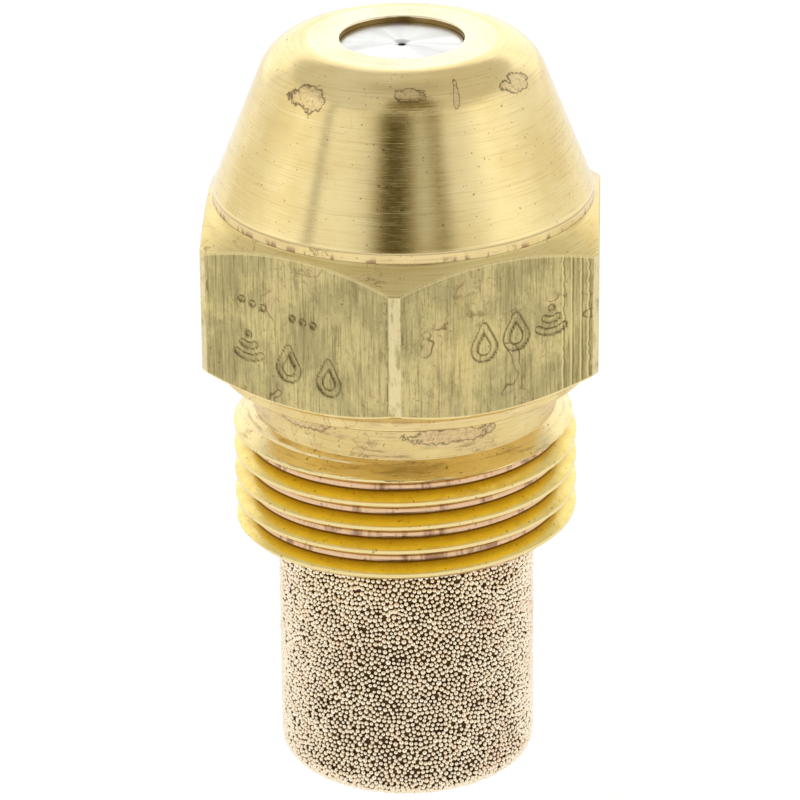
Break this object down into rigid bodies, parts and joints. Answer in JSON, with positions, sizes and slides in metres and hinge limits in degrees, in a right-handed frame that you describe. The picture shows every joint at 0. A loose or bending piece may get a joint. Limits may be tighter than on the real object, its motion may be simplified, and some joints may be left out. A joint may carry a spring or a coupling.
{
  "type": "oil burner nozzle",
  "caption": "Hexagonal brass spray nozzle with a conical tip, a steel orifice disc, an external fine thread and a sintered bronze cup filter held by a screw.",
  "frame": {"origin": "centre of the flat seat at the end of the external thread", "axes": "+Z along the nozzle's axis towards the spray tip; one corner of the hexagon points to -Y"},
  "size_m": [0.016, 0.0182, 0.0319],
  "materials": {
    "body_brass": "turned and drawn",
    "disc_steel": "fine turned",
    "cone_steel": "fine turned",
    "screw_brass": "turned",
    "sintered_bronze": "sintered beads"
  },
  "bodies": {
    "nozzle": {"nozzle_body": "body_brass", "orifice_disc": "disc_steel"},
    "plug": {"swirl_cone": "cone_steel"},
    "screw": {"retaining_screw": "screw_brass", "sintered_filter": "sintered_bronze"}
  },
  "joints": [
    {"name": "screw_travel", "type": "slide", "parent": "nozzle", "child": "plug", "axis": [0, 0, -1], "range_m": [0, 0.00675]},
    {"name": "screw_turn", "type": "hinge", "parent": "plug", "child": "screw", "pos_m": [0, 0, 0.0055], "axis": [0, 0, -1], "range_deg": [0, 3240]}
  ],
  "couplings": [
    {"joint": "screw_travel", "follows": "screw_turn", "m_per_rad": 0.00011937}
  ]
}
